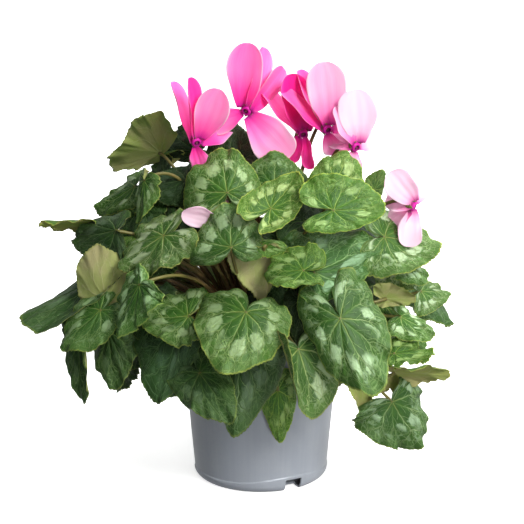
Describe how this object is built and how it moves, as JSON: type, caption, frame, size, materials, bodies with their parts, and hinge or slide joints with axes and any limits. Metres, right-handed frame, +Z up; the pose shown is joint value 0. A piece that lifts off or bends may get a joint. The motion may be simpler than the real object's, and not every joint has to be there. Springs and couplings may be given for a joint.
{
  "type": "potted cyclamen",
  "caption": "Potted cyclamen with patterned heart-shaped leaves on long stalks and nodding pink flowers with swept-back petals, grown from a tuber in a tapered plastic nursery pot.",
  "frame": {"origin": "middle of the underside of the pot, on the surface that it stands on", "axes": "+Z up; -Y is the front, which most of the leaves and flowers face; +X is to the right when the front is looked at"},
  "size_m": [0.3143, 0.259, 0.3258],
  "materials": {
    "pot_plastic": "satin",
    "potting_soil": "rough",
    "tuber_skin": "rough",
    "leaf": "satin",
    "petal": "matte",
    "flower_stalk": "satin"
  },
  "bodies": {
    "root": {"pot": "pot_plastic", "potting_soil": "potting_soil", "tuber": "tuber_skin", "flower_1_corolla": "petal", "flower_1_stalk": "flower_stalk", "flower_2_corolla": "petal", "flower_2_stalk": "flower_stalk", "flower_3_corolla": "petal", "flower_3_stalk": "flower_stalk", "flower_4_corolla": "petal", "flower_4_stalk": "flower_stalk", "flower_5_corolla": "petal", "flower_5_stalk": "flower_stalk", "flower_6_corolla": "petal", "flower_6_stalk": "flower_stalk", "flower_7_corolla": "petal", "flower_7_stalk": "flower_stalk", "leaf_01": "leaf", "leaf_02": "leaf", "leaf_03": "leaf", "leaf_04": "leaf", "leaf_05": "leaf", "leaf_06": "leaf", "leaf_07": "leaf", "leaf_08": "leaf", "leaf_09": "leaf", "leaf_10": "leaf", "leaf_11": "leaf", "leaf_12": "leaf", "leaf_13": "leaf", "leaf_14": "leaf", "leaf_15": "leaf", "leaf_16": "leaf", "leaf_17": "leaf", "leaf_18": "leaf", "leaf_19": "leaf", "leaf_20": "leaf", "leaf_21": "leaf", "leaf_22": "leaf", "leaf_23": "leaf", "leaf_24": "leaf", "leaf_25": "leaf", "leaf_26": "leaf", "leaf_27": "leaf", "leaf_28": "leaf", "leaf_29": "leaf", "leaf_30": "leaf", "leaf_31": "leaf", "leaf_32": "leaf", "leaf_33": "leaf", "leaf_34": "leaf", "leaf_35": "leaf", "leaf_36": "leaf", "leaf_37": "leaf", "leaf_38": "leaf", "leaf_39": "leaf", "leaf_40": "leaf", "leaf_41": "leaf", "leaf_42": "leaf", "leaf_43": "leaf"}
  },
  "joints": []
}
